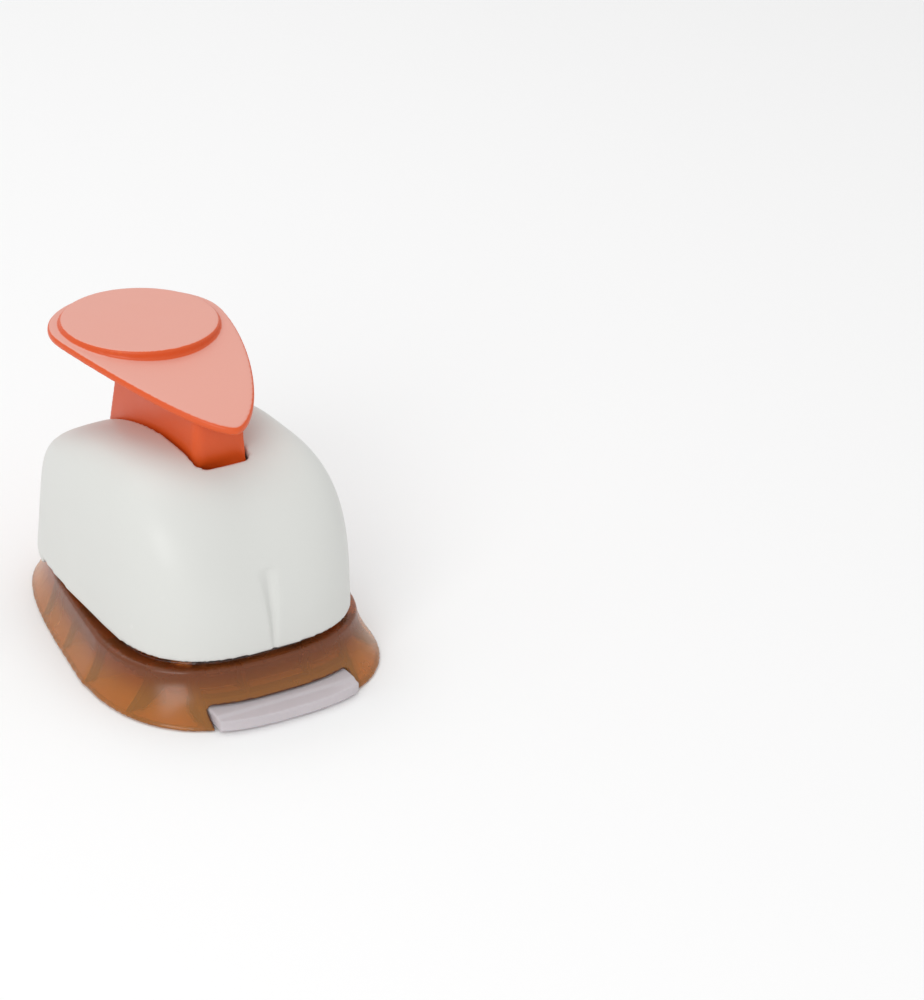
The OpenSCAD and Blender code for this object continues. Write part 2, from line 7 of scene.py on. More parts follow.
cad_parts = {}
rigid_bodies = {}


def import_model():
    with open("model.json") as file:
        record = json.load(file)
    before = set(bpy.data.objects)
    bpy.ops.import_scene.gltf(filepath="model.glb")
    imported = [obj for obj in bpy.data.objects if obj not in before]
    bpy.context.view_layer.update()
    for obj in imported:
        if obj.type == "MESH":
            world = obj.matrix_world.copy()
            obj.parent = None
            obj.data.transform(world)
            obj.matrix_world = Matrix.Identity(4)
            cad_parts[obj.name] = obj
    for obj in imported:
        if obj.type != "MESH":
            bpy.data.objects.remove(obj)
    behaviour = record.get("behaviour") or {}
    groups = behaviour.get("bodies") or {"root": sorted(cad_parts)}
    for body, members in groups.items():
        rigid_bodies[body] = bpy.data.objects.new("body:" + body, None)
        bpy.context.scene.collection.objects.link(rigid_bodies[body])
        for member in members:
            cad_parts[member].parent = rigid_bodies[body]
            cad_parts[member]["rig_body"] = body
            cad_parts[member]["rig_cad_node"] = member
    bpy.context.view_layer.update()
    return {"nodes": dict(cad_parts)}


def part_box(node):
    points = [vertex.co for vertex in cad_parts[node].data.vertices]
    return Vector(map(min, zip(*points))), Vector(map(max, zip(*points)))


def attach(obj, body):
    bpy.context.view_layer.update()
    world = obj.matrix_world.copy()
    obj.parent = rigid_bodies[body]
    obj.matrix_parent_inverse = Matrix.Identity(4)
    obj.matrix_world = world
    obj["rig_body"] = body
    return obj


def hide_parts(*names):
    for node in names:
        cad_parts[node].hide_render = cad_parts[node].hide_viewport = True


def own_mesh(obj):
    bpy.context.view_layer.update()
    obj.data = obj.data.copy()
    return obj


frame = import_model()
nodes = frame["nodes"]
mm = 0.001
print("frame loaded,", len(nodes), "nodes")


# One thing is selected at a time, and modifiers are applied as they are added

def deselectAll():
    if bpy.context.object and bpy.context.object.mode != "OBJECT":
        bpy.ops.object.mode_set(mode="OBJECT")
    bpy.ops.object.select_all(action="DESELECT")


def pick(*objects):
    deselectAll()
    for piece in objects:
        piece.select_set(True)
    bpy.context.view_layer.objects.active = objects[0]
    return objects[0]


def newPiece(name):
    piece = bpy.context.object
    piece.name = name
    piece.data.name = name
    return pick(piece)


def applyModifier(piece, kind, **settings):
    pick(piece)
    modifier = piece.modifiers.new(kind.lower(), kind)
    for key, value in settings.items():
        setattr(modifier, key, value)
    bpy.ops.object.modifier_apply(modifier=modifier.name)
    return piece


def cleanMesh(piece, distance=0.002 * mm):
    pick(piece)
    bpy.ops.object.mode_set(mode="EDIT")
    bpy.ops.mesh.select_all(action="SELECT")
    bpy.ops.mesh.remove_doubles(threshold=distance)
    bpy.ops.mesh.normals_make_consistent(inside=False)
    bpy.ops.object.mode_set(mode="OBJECT")
    return piece


# A grid wrapped into a closed skin: place turns its (u, v), each from 0 to 1, into a point
def wrappedGrid(name, columns, rows, place):
    deselectAll()
    bpy.ops.mesh.primitive_grid_add(x_subdivisions=columns, y_subdivisions=rows, size=1)
    piece = newPiece(name)
    for vertex in piece.data.vertices:
        vertex.co = Vector(place(vertex.co.x + 0.5, vertex.co.y + 0.5)) * mm
    return cleanMesh(piece)


def fillEnds(piece):
    pick(piece)
    bpy.ops.object.mode_set(mode="EDIT")
    bpy.ops.mesh.select_all(action="SELECT")
    bpy.ops.mesh.fill_holes(sides=0)
    bpy.ops.mesh.select_all(action="SELECT")
    bpy.ops.mesh.normals_make_consistent(inside=False)
    bpy.ops.object.mode_set(mode="OBJECT")


def copyOfNode(node, name):
    pick(nodes[node])
    bpy.ops.object.duplicate()
    piece = newPiece(name)
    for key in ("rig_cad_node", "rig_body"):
        if key in piece:
            del piece[key]
    bpy.ops.object.parent_clear(type="CLEAR_KEEP_TRANSFORM")
    piece.data.materials.clear()
    return cleanMesh(piece)


def blockAt(name, low, high, corner=0.0):
    deselectAll()
    centre = [(a + b) / 2 * mm for a, b in zip(low, high)]
    bpy.ops.mesh.primitive_cube_add(size=1, location=centre)
    piece = newPiece(name)
    piece.scale = [(b - a) * mm for a, b in zip(low, high)]
    bpy.ops.object.transform_apply(location=True, rotation=True, scale=True)
    if corner:        # upright edges only
        bpy.ops.object.mode_set(mode="EDIT")
        bpy.ops.mesh.select_all(action="DESELECT")
        bpy.ops.object.mode_set(mode="OBJECT")
        for edge in piece.data.edges:
            a, b = [piece.data.vertices[i].co for i in edge.vertices]
            edge.select = abs(a.z - b.z) > 0.001 * mm
        bpy.ops.object.mode_set(mode="EDIT")
        bpy.ops.mesh.select_mode(type="EDGE")
        bpy.ops.mesh.bevel(offset=corner * mm, segments=6)
        bpy.ops.object.mode_set(mode="OBJECT")
    return piece


def postAt(name, x, y, lowZ, highZ, radius, corners=48):
    deselectAll()
    bpy.ops.mesh.primitive_cylinder_add(vertices=corners, radius=radius * mm,
                                        depth=(highZ - lowZ) * mm,
                                        location=(x * mm, y * mm, (lowZ + highZ) / 2 * mm))
    piece = newPiece(name)
    bpy.ops.object.transform_apply(location=True, rotation=True, scale=True)
    return piece


def cutAway(piece, cutter):
    applyModifier(piece, "BOOLEAN", operation="DIFFERENCE", object=cutter, solver="EXACT")
    bpy.data.objects.remove(cutter)
    return piece


def keepInside(piece, volume):
    applyModifier(piece, "BOOLEAN", operation="INTERSECT", object=volume, solver="EXACT")
    bpy.data.objects.remove(volume)
    return piece


def joinPieces(piece, *others):
    pick(piece, *others)
    bpy.ops.object.join()
    return piece


# One moulded skin with softened edges out of overlapping closed shapes
def mouldTogether(piece, grid, softening, passes=5):
    applyModifier(piece, "REMESH", mode="VOXEL", voxel_size=grid * mm, adaptivity=0)
    applyModifier(piece, "SMOOTH", factor=softening, iterations=passes)
    pick(piece)
    bpy.ops.object.shade_smooth()
    return piece


# Two powered ovals that meet at the widest place, the rear one narrowing evenly to the back;
# shapes are worked out in millimetres and become metres when they are made
def ovalPoint(angle, halfWidth, front, rear, frontPower, rearPower, taper):
    c, s = math.cos(angle), math.sin(angle)
    reach, power = (front, frontPower) if s < 0 else (rear, rearPower)
    r = (abs(c / halfWidth) ** power + abs(s / reach) ** power) ** (-1 / power)
    return r * c * (1 - taper * r * s if s > 0 else 1), r * s


housingBox = [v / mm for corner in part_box("housing") for v in corner]
baseBox = [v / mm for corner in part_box("base") for v in corner]
guideBox = [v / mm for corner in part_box("guide_plate") for v in corner]
springBox = [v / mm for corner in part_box("return_spring_right") for v in corner]


housing = {
    "midY": -8, "frontPower": 2.8, "rearPower": 4, "taper": 0.0007, "wall": 2,
    "crownY": -4, "crownHeight": 44.4, "fallRear": 0.0078, "fallFront": 0.016,
    "lean": 0.05, "frontDome": 3.3, "sideDome": 5, "rearDome": 12,
    "shoulder": 0.9, "columns": 240, "steps": 24, "crowding": 43, "footShare": 0.97,
    "slotHalfWidth": 6, "slotFront": -13.3, "slotRear": 31, "slotCorner": 2.2, "slotLow": 20,
    "pastSide": 40, "pastFront": -60, "pastTop": 60, "grid": 0.44, "passes": 4,
    "throatEnd": 22, "bossX": 10.5, "bossY": 30, "bossRadius": 3.2, "bossTop": 20,
    "grooveHeight": 16, "grooveLowWidth": 0.5, "grooveTopWidth": 2.3, "grooveSteep": 1.0,
}
housing["footZ"] = housingBox[2]
housing["throatZ"] = guideBox[2] + 0.4        # just over the guide plate's underside
housing["halfWidth"] = housingBox[3]
housing["front"] = housing["midY"] - housingBox[1]
housing["rear"] = housingBox[4] - housing["midY"]


def housingWall(share, rising, angle, inset, low):
    h = housing
    x, y = ovalPoint(angle, h["halfWidth"] - inset, h["front"] - inset, h["rear"] - inset,
                     h["frontPower"], h["rearPower"], h["taper"])
    if low:
        return x, y + h["midY"], h["footZ"]
    back = (y / math.hypot(x, y)) ** 4
    endDome = h["rearDome"] if y > 0 else h["frontDome"]
    power = h["sideDome"] + back * (endDome - h["sideDome"])
    if rising:
        rise = (1 - h["shoulder"] ** power) ** (1 / power) * share
        share = (1 - rise ** power) ** (1 / power)
    else:
        share = h["shoulder"] * share
        rise = (1 - share ** power) ** (1 / power)
    reach = share * (1 - h["lean"] * rise)
    x, y = x * reach, y * reach + h["midY"]
    fall = h["fallRear"] if y > h["crownY"] else h["fallFront"]
    crown = h["crownHeight"] - fall * (y - h["crownY"]) ** 2
    z = h["throatZ"] + (crown - inset - h["throatZ"]) * rise
    return x, y, z


# Pointed valley that marks the middle of the front and fades upwards
def grooveDepth(x, y, z):
    h = housing
    t = (z - h["throatZ"]) / h["grooveHeight"]
    if y > h["midY"] or not 0 <= t < 1:
        return 0
    width = h["grooveLowWidth"] + (h["grooveTopWidth"] - h["grooveLowWidth"]) * t
    return max(0, 1 - abs(x) / width) * width * h["grooveSteep"] * (1 - t) ** 0.5


def buildHousing():
    h = housing

    def place(u, v):
        s = u - 0.5          # columns crowd towards the front
        angle = math.radians(-90 + 360 * s - h["crowding"] * math.sin(2 * math.pi * s))
        t = 1 - abs(v - 0.5) * 2         # 0 at the poles, 1 at the foot
        inset = 0 if v < 0.5 else h["wall"]
        if t > h["footShare"]:
            return housingWall(1, False, angle, inset, True)
        if t > 0.5:
            return housingWall(1 - (t - 0.5) / (h["footShare"] - 0.5), True, angle, inset, False)
        return housingWall(t / 0.5, False, angle, inset, False)

    shell = wrappedGrid("housing_shell", h["columns"], 4 * h["steps"], place)
    cutAway(shell, blockAt("slotCutter", (-h["slotHalfWidth"], h["slotFront"], h["slotLow"]),
                           (h["slotHalfWidth"], h["slotRear"], h["pastTop"]), h["slotCorner"]))
    cutAway(shell, blockAt("throatCutter", (-h["pastSide"], h["pastFront"], 0),
                           (h["pastSide"], h["throatEnd"], h["throatZ"])))
    bosses = [postAt("boss", side * h["bossX"], h["bossY"], h["footZ"], h["bossTop"],
                     h["bossRadius"]) for side in (-1, 1)]
    joinPieces(shell, *bosses)
    mouldTogether(shell, h["grid"], 0.5, h["passes"])
    for vertex in shell.data.vertices:
        x, y, z = [c / mm for c in vertex.co]
        vertex.co.y += grooveDepth(x, y, z) * mm
    return shell


lever = {
    "halfWidth": 18.5, "padY": 23.4, "padRadius": 16.2, "padHeight": 1, "thickness": 1.6,
    "midY": 24.4, "rearReach": 16.4, "tipY": -18.1, "lowZ": 57, "tilt": -0.5,
    "drop": 5.6, "dropLength": 40, "dropPower": 1.85, "edgeRound": 0.5,
    "stemHalfWidth": 5.4, "stemFront": -10.8, "cornerRound": 1.9, "cutZ": 50.5, "rearLean": 0.258,
    "tipPower": 1.45, "tipFullness": 0.63, "edgeShare": 0.35, "padRound": 0.35, "sink": 1.1,
    "rise": 4, "rearStretch": 3, "grid": 0.33,
}


def plateLow(y):
    p = lever
    low = p["lowZ"] + math.tan(math.radians(p["tilt"])) * (y - p["padY"])
    if y < p["midY"]:
        low -= p["drop"] * ((p["midY"] - y) / p["dropLength"]) ** p["dropPower"]
    return low


def plateOutline(u):
    p = lever
    quarter, t = int(4 * u) % 4, 4 * u - int(4 * u)
    if quarter < 2:
        angle = math.radians(90 * (quarter + t))
        return p["halfWidth"] * math.cos(angle), p["midY"] + p["rearReach"] * math.sin(angle)
    v = math.sin(math.radians(90 * (t if quarter == 2 else 1 - t)))
    x = p["halfWidth"] * max(0, 1 - v ** p["tipPower"]) ** p["tipFullness"]
    return (-x if quarter == 2 else x), p["midY"] - (p["midY"] - p["tipY"]) * v


def padOutline(u):
    angle = math.radians(360 * u)
    p = lever
    return p["padRadius"] * math.cos(angle), p["padY"] + p["padRadius"] * math.sin(angle)


# Flat disc of any outline with rounded edges, which lies on a bent surface
def roundedDisc(name, outline, centreY, lowSide, thickness, radius, columns=160, rows=48):
    edge = lever["edgeShare"]          # share of the rows on each flat side

    def place(u, v):
        x, y = outline(min(u, 1 - 1e-9) if u < 1 else 0)
        away = math.hypot(x, y - centreY)
        if v < edge:
            share, inset, height = v / edge, radius, 0
        elif v > 1 - edge:
            share, inset, height = (1 - v) / edge, radius, thickness
        else:
            t = (v - edge) / (1 - 2 * edge)
            turn = math.radians(90 * min(1, 3 * t, 3 * (1 - t)))
            share, inset = 1, radius * (1 - math.sin(turn))
            lower = radius * (1 - math.cos(turn))
            height = lower if t < 0.5 else thickness - lower
        reach = share * (away - inset) / away
        px, py = x * reach, centreY + (y - centreY) * reach
        return px, py, lowSide(py) + height
    return wrappedGrid(name, columns, rows, place)


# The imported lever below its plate: cut level, then drawn up into the plate along its leaning rear
def buildStem():
    p = lever
    stem = copyOfNode("press_lever", "lever_arm")
    bpy.ops.object.mode_set(mode="EDIT")
    bpy.ops.mesh.select_all(action="SELECT")
    bpy.ops.mesh.bisect(plane_co=(0, 0, p["cutZ"] * mm), plane_no=(0, 0, 1),
                        use_fill=True, clear_outer=True)
    bpy.ops.object.mode_set(mode="OBJECT")
    for face in stem.data.polygons:
        face.select = all(abs(stem.data.vertices[i].co.z / mm - p["cutZ"]) < 0.01
                          for i in face.vertices)
    bpy.ops.object.mode_set(mode="EDIT")
    bpy.ops.mesh.select_mode(type="FACE")
    bpy.ops.mesh.extrude_region_move(TRANSFORM_OT_translate={"value": (0, 0, p["rise"] * mm)})
    bpy.ops.object.mode_set(mode="OBJECT")
    for vertex in stem.data.vertices:
        x, y, z = [c / mm for c in vertex.co]
        if z > p["cutZ"] + 1:
            top = plateLow(y) + p["sink"]
            if y > p["padY"] - p["rearStretch"]:
                y -= (top - p["cutZ"]) * p["rearLean"]
            vertex.co = Vector((x, y, top)) * mm
    cleanMesh(stem)
    bpy.ops.object.mode_set(mode="EDIT")
    bpy.ops.mesh.select_all(action="SELECT")
    bpy.ops.mesh.dissolve_limited(angle_limit=math.radians(0.5))
    bpy.ops.mesh.select_all(action="DESELECT")
    bpy.ops.object.mode_set(mode="OBJECT")
    for edge in stem.data.edges:
        ends = [stem.data.vertices[i].co / mm for i in edge.vertices]
        onSide = all(abs(abs(e.x) - p["stemHalfWidth"]) < 0.02 for e in ends)
        edge.select = onSide and all(abs(e.y - p["stemFront"]) < 0.05 for e in ends)
    bpy.ops.object.mode_set(mode="EDIT")
    bpy.ops.mesh.select_mode(type="EDGE")
    bpy.ops.mesh.bevel(offset=p["cornerRound"] * mm, segments=6)
    bpy.ops.object.mode_set(mode="OBJECT")
    return stem


def buildLever():
    p = lever
    stem = buildStem()
    plate = roundedDisc("plate", plateOutline, p["midY"], plateLow, p["thickness"],
                        p["edgeRound"])
    padLow = p["thickness"] / 2
    pad = roundedDisc("pad", padOutline, p["padY"],
                      lambda y: plateLow(max(y, p["midY"])) + padLow,
                      p["thickness"] / 2 + p["padHeight"], p["padRound"])
    joinPieces(stem, plate, pad)
    return mouldTogether(stem, p["grid"], 0.5, 3)


base = {
    "midY": -10, "front": 31.5, "rear": 52.3, "frontPower": 2.6, "rearPower": 4, "taper": 0.0047,
    "sideFlare": 3.7, "frontFlare": 7.9, "rearFlare": 3.6, "flarePower": 1.6, "skirt": 2,
    "deck": 2.2, "ledge": 9.6, "ledgeRound": 0.5, "levels": 16, "grid": 0.46, "passes": 6,
    "notchHalfWidth": 15.8, "notchDepth": 13, "panelLow": 3.5, "lipHeight": 1.1, "lipInset": 0.12,
    "lipDepth": 1.8, "pastFront": -60, "ribRear": -30, "ribFront": -45, "ribTopGap": 1.2,
    "ribY": (-25.4, -11.4, 2.6, 16.6), "ribHalf": 0.5, "ribLow": 0.9, "ribInner": 20,
    "ribOuter": 33, "ribInset": 0.15, "panelRibX": 7, "panelRibHalf": 0.4,
    "notchWallX": 0.9, "notchWallHalf": 0.7, "notchWallLow": 0.4,
}
base["halfWidth"] = baseBox[3]


def basePoint(angle, flare, inset, z):
    b = base
    x, y = ovalPoint(angle, b["halfWidth"] - b["sideFlare"] * (1 - flare) - inset,
                     b["front"] - b["frontFlare"] * (1 - flare) - inset,
                     b["rear"] - b["rearFlare"] * (1 - flare) - inset,
                     b["frontPower"], b["rearPower"], b["taper"])
    return x, y + b["midY"], z


# A loop of (flare, inset, z) carried round the base's outline
def carryRound(name, loop, columns=200):
    def place(u, v):
        flare, inset, z = loop[min(round(v * (len(loop) - 1)), len(loop) - 1)]
        return basePoint(2 * math.pi * u, flare, inset, z)
    return wrappedGrid(name, columns, len(loop) - 1, place)


def buildBase():
    b = base
    ridge = b["ledge"] - b["ledgeRound"]
    roof = b["ledge"] - b["deck"] + 0.5
    thin = b["skirt"] - 0.5              # ends inside the other wall, and no two skins lie together
    shares = [k / b["levels"] for k in range(b["levels"] + 1)]
    outer = [(1, 0.35, 0), (1, 0.1, 0.1), (1, 0, 0.35)]      # small radius at the foot
    outer += [((1 - k) ** b["flarePower"], 0, ridge * k) for k in shares[1:]]
    turns = [math.radians(a) for a in (30, 60, 90)]
    top = [(0, b["ledgeRound"] * (1 - math.cos(a)), ridge + b["ledgeRound"] * math.sin(a))
           for a in turns]
    inner = [(0, 3.9, b["ledge"]), (0, 3.9, roof)]
    wall = [((1 - k * roof / ridge) ** b["flarePower"], thin, roof * k)
            for k in reversed(shares)]
    skirt = carryRound("base_skirt", outer + top + inner + wall + outer[:1])
    notch = blockAt("notchCutter", (-b["notchHalfWidth"], b["pastFront"], -5),
                    (b["notchHalfWidth"], baseBox[1] + b["notchDepth"] - 0.8, b["panelLow"]))
    cutAway(skirt, notch)
    inside = copyOfNode("base", "base_inside")
    keepInside(inside, baseCore(1, 0.1))
    joinPieces(skirt, inside)
    return mouldTogether(skirt, b["grid"], 0.5, b["passes"])


# Closed volume inside the skirt: its wall stands in by inset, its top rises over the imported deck
def baseCore(inset, lift):
    b = base
    ridge = b["ledge"] - b["ledgeRound"]
    shares = [k / b["levels"] for k in range(b["levels"] + 1)]
    core = [(1, 20, -2), (1, inset, -2)]
    core += [((1 - k) ** b["flarePower"], inset, ridge * k) for k in shares]
    core += [(0, inset, ridge + lift), (0, 3.5, ridge + lift), (0, 3.5, 14), (0, 20, 14)]
    volume = carryRound("core", core)
    fillEnds(volume)
    return volume


# Stiffening ribs that show through the skirt as darker lines, and the panel's thick lower edge
def buildRibs():
    b = base
    ribs = []
    top = b["ledge"] - b["ribTopGap"]
    for side in (-1, 1):
        for y in b["ribY"]:
            ends = sorted((side * b["ribInner"], side * b["ribOuter"]))
            ribs.append(blockAt("rib", (ends[0], y - b["ribHalf"], b["ribLow"]),
                                (ends[1], y + b["ribHalf"], top)))
        frontRibs = ((b["panelRibX"], b["panelRibHalf"], b["panelLow"] + 0.6),
                     (b["notchHalfWidth"] + b["notchWallX"], b["notchWallHalf"], b["notchWallLow"]))
        for x, half, low in frontRibs:
            ribs.append(blockAt("rib", (side * x - half, b["ribFront"], low),
                                (side * x + half, b["ribRear"], top)))
    joined = joinPieces(*ribs)
    joined.name = "base_ribs"
    keepInside(joined, baseCore(b["ribInset"], -0.6))
    ridge = b["ledge"] - b["ledgeRound"]
    low, high = [(z, (1 - z / ridge) ** b["flarePower"])
                 for z in (b["panelLow"] + 0.1, b["panelLow"] + b["lipHeight"])]
    near, far = b["lipInset"], b["lipDepth"]
    lip = carryRound("panel_lip", [(low[1], near, low[0]), (high[1], near, high[0]),
                                   (high[1], far, high[0]), (low[1], far, low[0]),
                                   (low[1], near, low[0])])
    keepInside(lip, blockAt("front", (-b["notchHalfWidth"], b["pastFront"], 0),
                            (b["notchHalfWidth"], -25, 12)))
    joinPieces(joined, lip)
    applyModifier(joined, "BEVEL", width=0.12 * mm, segments=2, limit_method="ANGLE")
    pick(joined)
    bpy.ops.object.shade_smooth_by_angle(angle=math.radians(35))
    return joined


lockSlide = {"grid": 0.27, "passes": 5}


def buildLockSlide():
    slide = copyOfNode("lock_slide", "lock_bar")
    return mouldTogether(slide, lockSlide["grid"], 0.5, lockSlide["passes"])


spring = {"wire": 0.3, "radius": 2.85, "turns": 5, "x": 17.5, "y": -7}


def buildSpring(name, side):
    s = spring
    low, high = springBox[2] + s["wire"], springBox[5] - s["wire"]
    deselectAll()
    bpy.ops.mesh.primitive_circle_add(vertices=14, radius=s["wire"] * mm, fill_type="NOTHING",
                                      location=(s["radius"] * mm, 0, 0),
                                      rotation=(math.pi / 2, 0, 0))
    piece = newPiece(name)
    bpy.ops.object.transform_apply(location=True, rotation=True, scale=True)
    applyModifier(piece, "SCREW", angle=2 * math.pi * s["turns"], screw_offset=(high - low) * mm,
                  steps=36 * s["turns"], render_steps=36 * s["turns"], iterations=1, axis="Z")
    bpy.ops.object.mode_set(mode="EDIT")
    bpy.ops.mesh.select_all(action="SELECT")
    bpy.ops.mesh.remove_doubles(threshold=0.001 * mm)
    bpy.ops.mesh.fill_holes(sides=0)
    bpy.ops.mesh.select_all(action="SELECT")
    bpy.ops.mesh.normals_make_consistent(inside=False)
    bpy.ops.object.mode_set(mode="OBJECT")
    for vertex in piece.data.vertices:
        vertex.co = Vector((side * (vertex.co.x + s["x"] * mm), vertex.co.y + s["y"] * mm,
                            vertex.co.z + low * mm))
    cleanMesh(piece, 0.001 * mm)
    bpy.ops.object.shade_smooth()
    return piece


def newGroup(name, inputs, outputs):
    group = bpy.data.node_groups.new(name, "ShaderNodeTree")
    for label, kind, value in inputs:
        socket = group.interface.new_socket(name=label, in_out="INPUT", socket_type=kind)
        socket.default_value = value
    for label, kind in outputs:
        group.interface.new_socket(name=label, in_out="OUTPUT", socket_type=kind)
    start = group.nodes.new("NodeGroupInput")
    end = group.nodes.new("NodeGroupOutput")
    return group, start, end


def addNode(tree, kind, **settings):
    node = tree.nodes.new(kind)
    for key, value in settings.items():
        setattr(node, key, value)
    return node


def mathNode(tree, operation, first, second, clamp=False):
    node = addNode(tree, "ShaderNodeMath", operation=operation, use_clamp=clamp)
    for socket, value in zip(node.inputs, (first, second)):
        if isinstance(value, (int, float)):
            socket.default_value = value
        else:
            tree.links.new(value, socket)
    return node.outputs[0]


def rangeNode(tree, value, fromLow, fromHigh, toLow, toHigh):
    node = addNode(tree, "ShaderNodeMapRange", interpolation_type="SMOOTHSTEP")
    tree.links.new(value, node.inputs["Value"])
    for label, number in (("From Min", fromLow), ("From Max", fromHigh),
                          ("To Min", toLow), ("To Max", toHigh)):
        node.inputs[label].default_value = number
    return node.outputs["Result"]


# Fine moulded grain: a bump height and a slow change of shine
def makeGrainGroup():
    group, start, end = newGroup("mouldedGrain",
                                 [("Grain Scale", "NodeSocketFloat", 2400),
                                  ("Shine Scale", "NodeSocketFloat", 60)],
                                 [("Height", "NodeSocketFloat"), ("Shine", "NodeSocketFloat")])
    place = addNode(group, "ShaderNodeTexCoord")
    fine = addNode(group, "ShaderNodeTexNoise")
    fine.inputs["Detail"].default_value = 3
    slow = addNode(group, "ShaderNodeTexNoise")
    slow.inputs["Detail"].default_value = 4
    for texture, label in ((fine, "Grain Scale"), (slow, "Shine Scale")):
        group.links.new(place.outputs["Object"], texture.inputs["Vector"])
        group.links.new(start.outputs[label], texture.inputs["Scale"])
    group.links.new(fine.outputs["Fac"], end.inputs["Height"])
    group.links.new(slow.outputs["Fac"], end.inputs["Shine"])
    return group


# Worn edges: convex places, broken up by noise
def makeWearGroup():
    group, start, end = newGroup("edgeWear",
                                 [("Reach", "NodeSocketFloat", 0.53),
                                  ("Amount", "NodeSocketFloat", 0.5)],
                                 [("Mask", "NodeSocketFloat")])
    shape = addNode(group, "ShaderNodeNewGeometry")
    place = addNode(group, "ShaderNodeTexCoord")
    noise = addNode(group, "ShaderNodeTexNoise")
    noise.inputs["Scale"].default_value = 260
    noise.inputs["Detail"].default_value = 5
    group.links.new(place.outputs["Object"], noise.inputs["Vector"])
    over = mathNode(group, "SUBTRACT", shape.outputs["Pointiness"], start.outputs["Reach"])
    sharp = mathNode(group, "MULTIPLY", over, 14, clamp=True)
    patches = rangeNode(group, noise.outputs["Fac"], 0.35, 0.7, 0.2, 1)
    broken = mathNode(group, "MULTIPLY", sharp, patches)
    amount = mathNode(group, "MULTIPLY", broken, start.outputs["Amount"], clamp=True)
    group.links.new(amount, end.inputs["Mask"])
    return group


# Fine brushing along one axis, for ground and drawn metal
def makeBrushGroup():
    group, start, end = newGroup("brushedMetal",
                                 [("Stretch", "NodeSocketVector", (40, 900, 900))],
                                 [("Height", "NodeSocketFloat"), ("Shine", "NodeSocketFloat")])
    place = addNode(group, "ShaderNodeTexCoord")
    stretch = addNode(group, "ShaderNodeVectorMath", operation="MULTIPLY")
    group.links.new(place.outputs["Object"], stretch.inputs[0])
    group.links.new(start.outputs["Stretch"], stretch.inputs[1])
    streaks = addNode(group, "ShaderNodeTexNoise")
    streaks.inputs["Scale"].default_value = 3
    streaks.inputs["Detail"].default_value = 4
    group.links.new(stretch.outputs[0], streaks.inputs["Vector"])
    smears = addNode(group, "ShaderNodeTexNoise")
    smears.inputs["Scale"].default_value = 90
    group.links.new(place.outputs["Object"], smears.inputs["Vector"])
    group.links.new(streaks.outputs["Fac"], end.inputs["Height"])
    group.links.new(smears.outputs["Fac"], end.inputs["Shine"])
    return group


grainGroup = makeGrainGroup()
wearGroup = makeWearGroup()
brushGroup = makeBrushGroup()


def linear(red, green, blue):
    return tuple((c / 255 / 12.92 if c / 255 <= 0.04045 else ((c / 255 + 0.055) / 1.055) ** 2.4)
                 for c in (red, green, blue)) + (1,)


def startMaterial(name, constants):
    material = bpy.data.materials.new(name)
    material.use_nodes = True
    tree = material.node_tree
    shader = tree.nodes["Principled BSDF"]
    for label, value in constants.items():
        shader.inputs[label].default_value = value
    return material, tree, shader


def placeGroup(tree, group, **values):
    node = addNode(tree, "ShaderNodeGroup", node_tree=group)
    for label, value in values.items():
        node.inputs[label.replace("_", " ")].default_value = value
    return node


def mixColours(tree, mask, first, second):
    node = addNode(tree, "ShaderNodeMix", data_type="RGBA")
    tree.links.new(mask, node.inputs["Factor"])
    for socket, value in ((node.inputs[6], first), (node.inputs[7], second)):
        if isinstance(value, tuple):
            socket.default_value = value
        else:
            tree.links.new(value, socket)
    return node.outputs[2]


def addBump(tree, shader, height, strength, distance):
    bump = addNode(tree, "ShaderNodeBump")
    bump.inputs["Strength"].default_value = strength
    bump.inputs["Distance"].default_value = distance * mm
    tree.links.new(height, bump.inputs["Height"])
    tree.links.new(bump.outputs["Normal"], shader.inputs["Normal"])


# Moulded plastic: grain, uneven shine and paler worn edges
def mouldedPlastic(name, colour, worn, shine, grain=2400, bump=0.12, wear=0.35, **constants):
    material, tree, shader = startMaterial(name, constants)
    texture = placeGroup(tree, grainGroup, Grain_Scale=grain)
    edges = placeGroup(tree, wearGroup, Amount=wear)
    paint = mixColours(tree, edges.outputs["Mask"], colour, worn)
    sheen = rangeNode(tree, texture.outputs["Shine"], 0.3, 0.7, *shine)
    tree.links.new(paint, shader.inputs["Base Color"])
    tree.links.new(sheen, shader.inputs["Roughness"])
    addBump(tree, shader, texture.outputs["Height"], bump, 0.05)
    return material, tree, shader


# Ground or drawn metal: brushing, uneven shine and faint stains
def metal(name, colour, stained, shine, stretch=(40, 900, 900), bump=0.15):
    material, tree, shader = startMaterial(name, {"Metallic": 1.0})
    brushing = placeGroup(tree, brushGroup, Stretch=stretch)
    stains = rangeNode(tree, brushing.outputs["Shine"], 0.45, 0.75, 0, 1)
    sheen = rangeNode(tree, brushing.outputs["Shine"], 0.3, 0.7, *shine)
    tree.links.new(mixColours(tree, stains, colour, stained), shader.inputs["Base Color"])
    tree.links.new(sheen, shader.inputs["Roughness"])
    addBump(tree, shader, brushing.outputs["Height"], bump, 0.02)
    return material


greyPlastic, _, _ = mouldedPlastic(
    "lightGreyHousingPlastic", linear(216, 217, 213), linear(230, 230, 227), (0.4, 0.5),
    grain=1900, bump=0.22)


# Mixes a second colour over what already feeds the shader, by one axis of a coordinate
def tintAlong(tree, shader, coordinate, axis, low, high, colour):
    place = addNode(tree, "ShaderNodeTexCoord")
    axes = addNode(tree, "ShaderNodeSeparateXYZ")
    tree.links.new(place.outputs[coordinate], axes.inputs[0])
    mask = rangeNode(tree, axes.outputs[axis], low, high, 0, 1)
    before = shader.inputs["Base Color"].links[0].from_socket
    tree.links.new(mixColours(tree, mask, before, colour), shader.inputs["Base Color"])


